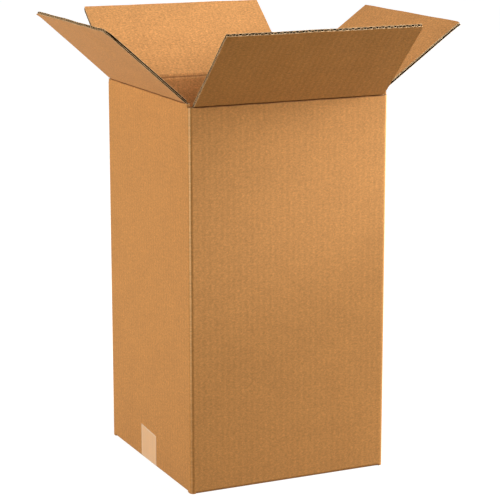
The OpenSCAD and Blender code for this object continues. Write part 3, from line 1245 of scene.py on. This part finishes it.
def make_tape():
    low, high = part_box("tape")
    bend = tape_bend(high.x)
    bm = bmesh.new()
    uv = bm.loops.layers.uv.new(BOARD_MAP)
    rim = bm.verts.layers.float.new(RIM)
    place, outer, inner = {}, [], []
    for i, y in enumerate(spread(low.y, high.y, TAPE_COLUMNS)):
        side_rim = max(0.0, 1 - min(y - low.y, high.y - y) / TAPE_RIM)
        share = (y - low.y) / (high.y - low.y)
        tooth = TOOTH * (i % 2)
        left_top = NEAR_END + (FAR_END - NEAR_END) * share - tooth
        path = tape_path(high.x, bend, left_top, RIGHT_END - tooth)
        run = 0.0
        outside, inside = [], []
        for k, (x, z, look_x, look_z) in enumerate(path):
            if k:
                run += math.dist(path[k - 1][:2], path[k][:2])
            nudge = Vector((-look_x, 0, -look_z)) * TAPE_T
            outside.append(bm.verts.new((x, y, z)))
            inside.append(bm.verts.new(Vector((x, y, z)) + nudge))
            place[outside[-1]] = place[inside[-1]] = (y, run)
            outside[-1][rim] = 1.0 if k in (0, len(path) - 1) else side_rim
        outer.append(outside)
        inner.append(inside)
    grid_faces(bm, outer)
    grid_faces(bm, inner)
    for pair in rim_pairs(outer, inner):
        grid_faces(bm, pair)
    map_faces(bm, uv, place)
    return finish_mesh("tape_strip", bm, [tape_film])


tape = make_tape()
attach(tape, "carton")
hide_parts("tape")
print("tape:", [round(v * 1000) for v in tape.dimensions], "mm")

# %% [markdown]
# ## Floor and light
# The carton stands on a floor that looks plain white. The floor catches its soft shadow, and
# to the camera it glows enough to meet the white behind it, a little more with distance from
# the carton. A truly white floor would throw far too much light back at the board, so its own
# colour is a dull beige, and the glow is not there for the light.

# %% Floor
FLOOR_SIZE = 40.0
FLOOR_DROP = 0.00005
FLOOR_COLOUR = (0.34, 0.30, 0.19)
FLOOR_ROUGHNESS = 0.9
GLOW_NEAR, GLOW_FAR = 0.94, 1.04
GLOW_FROM, GLOW_TO = 0.25, 1.4
GLOW_COLOUR = (0.96, 0.97, 1.0)


def floor_material():
    material, tree, shader = new_material("floor_white")
    shader.inputs["Base Color"].default_value = opaque(FLOOR_COLOUR)
    shader.inputs["Roughness"].default_value = FLOOR_ROUGHNESS
    shader.inputs["Specular IOR Level"].default_value = 0.0
    place = add_node(tree, "ShaderNodeTexCoord").outputs["Object"]
    away = add_node(tree, "ShaderNodeVectorMath", {0: place}, operation="LENGTH").outputs["Value"]
    strength = remap(tree, away, GLOW_FROM, GLOW_TO, GLOW_NEAR, GLOW_FAR)
    seen = arith(tree, "MULTIPLY", is_seen(tree), strength)
    glow_inputs = {"Color": opaque(GLOW_COLOUR), "Strength": seen}
    glow = add_node(tree, "ShaderNodeEmission", glow_inputs)
    both = add_node(tree, "ShaderNodeAddShader", {0: shader.outputs[0], 1: glow.outputs[0]})
    tree.links.new(both.outputs[0], tree.nodes["Material Output"].inputs["Surface"])
    return material


def make_floor():
    bm = bmesh.new()
    bmesh.ops.create_grid(bm, x_segments=1, y_segments=1, size=FLOOR_SIZE / 2)
    bmesh.ops.translate(bm, vec=(0, 0, -FLOOR_DROP), verts=bm.verts)
    floor = finish_mesh("floor", bm, [floor_material()], smooth=False)
    return floor


floor = make_floor()
print("floor:", round(floor.dimensions.x), "m wide")

# %% [markdown]
# The main light is a large soft lamp to the right of the carton's front and somewhat above it,
# helped by a nearer one. Weaker, slightly warm lamps fill in from the left, from low on the
# left and from above. Two narrow lamps lay a soft pool of light each, one on the upper part of
# the front wall and one on the right flap. A wide lamp alone would light the whole wall alike,
# and the pale patch at its top would be lost.

# %% Lamps
POOL_LAMP_SIZE = 0.05
COOL = (1.0, 1.03, 1.09)
WARM = (1.0, 0.985, 0.96)
WHITE = (1.0, 1.0, 1.0)
BLUISH = (1.0, 1.05, 1.22)

# Name, place, what it points at, width, power, colour
SOFT_LAMPS = [
    ("key", (2.00, -0.87, 1.27), (0, 0, 0.35), 0.8, 49.5, COOL),
    ("key_near", (1.15, -0.62, 0.85), (0.05, -0.10, 0.38), 0.4, 11.5, COOL),
    ("left", (-1.60, -0.30, 1.00), (0, 0, 0.30), 1.0, 15.3, WARM),
    ("left_low", (-0.90, 0.30, 0.03), (-0.13, 0, 0.20), 0.5, 4.1, WARM),
    ("top", (0, 0.20, 2.20), (0, 0, 0.40), 0.9, 10, WARM),
]

# The same, with the angle of the pool in degrees in place of the width
POOL_LAMPS = [
    ("pool_front", (1.25, -0.80, 0.85), (0.05, -0.13, 0.350), 10.0, 34, BLUISH),
    ("pool_right_flap", (-1.50, 0.75, 1.35), (0.19, 0.0, 0.52), 13.0, 48, WHITE),
]


def hang_lamp(data, place, aim, power, colour):
    data.energy = power
    data.color = colour
    lamp = bpy.data.objects.new(data.name, data)
    bpy.context.scene.collection.objects.link(lamp)
    lamp.location = place
    lamp.visible_camera = False
    lamp.rotation_mode = "QUATERNION"
    lamp.rotation_quaternion = (Vector(place) - Vector(aim)).to_track_quat("Z", "Y")


def soft_lamp(name, place, aim, size, power, colour):
    data = bpy.data.lights.new(name, "AREA")
    data.shape = "DISK"
    data.size = size
    hang_lamp(data, place, aim, power, colour)


def pool_lamp(name, place, aim, angle, power, colour):
    """A narrow lamp whose round pool of light fades all the way from its middle."""
    data = bpy.data.lights.new(name, "SPOT")
    data.spot_size = math.radians(angle)
    data.spot_blend = 1.0
    data.shadow_soft_size = POOL_LAMP_SIZE
    hang_lamp(data, place, aim, power, colour)


for lamp in SOFT_LAMPS:
    soft_lamp(*lamp)
for lamp in POOL_LAMPS:
    pool_lamp(*lamp)
print("lamps:", len(SOFT_LAMPS) + len(POOL_LAMPS))

# %% [markdown]
# The world behind the floor looks pure white, but it lights the carton only weakly, so that the
# lamps decide which side is bright. A warm tint in that weak light keeps the shadows brown.

# %% World
WORLD_LIGHT = 0.04
WORLD_TINT = (1.0, 0.85, 0.5)


def make_world():
    world = bpy.data.worlds.new("studio")
    bpy.context.scene.world = world
    world.use_nodes = True
    tree = world.node_tree
    seen = arith(tree, "MINIMUM", is_seen(tree), 1.0)
    background = tree.nodes["Background"]
    tree.links.new(mix_colours(tree, seen, WORLD_TINT, WHITE), background.inputs["Color"])
    tree.links.new(remap(tree, seen, 0, 1, WORLD_LIGHT, 1.0), background.inputs["Strength"])


make_world()
bpy.context.scene.view_settings.view_transform = "Standard"
print("world light:", WORLD_LIGHT)
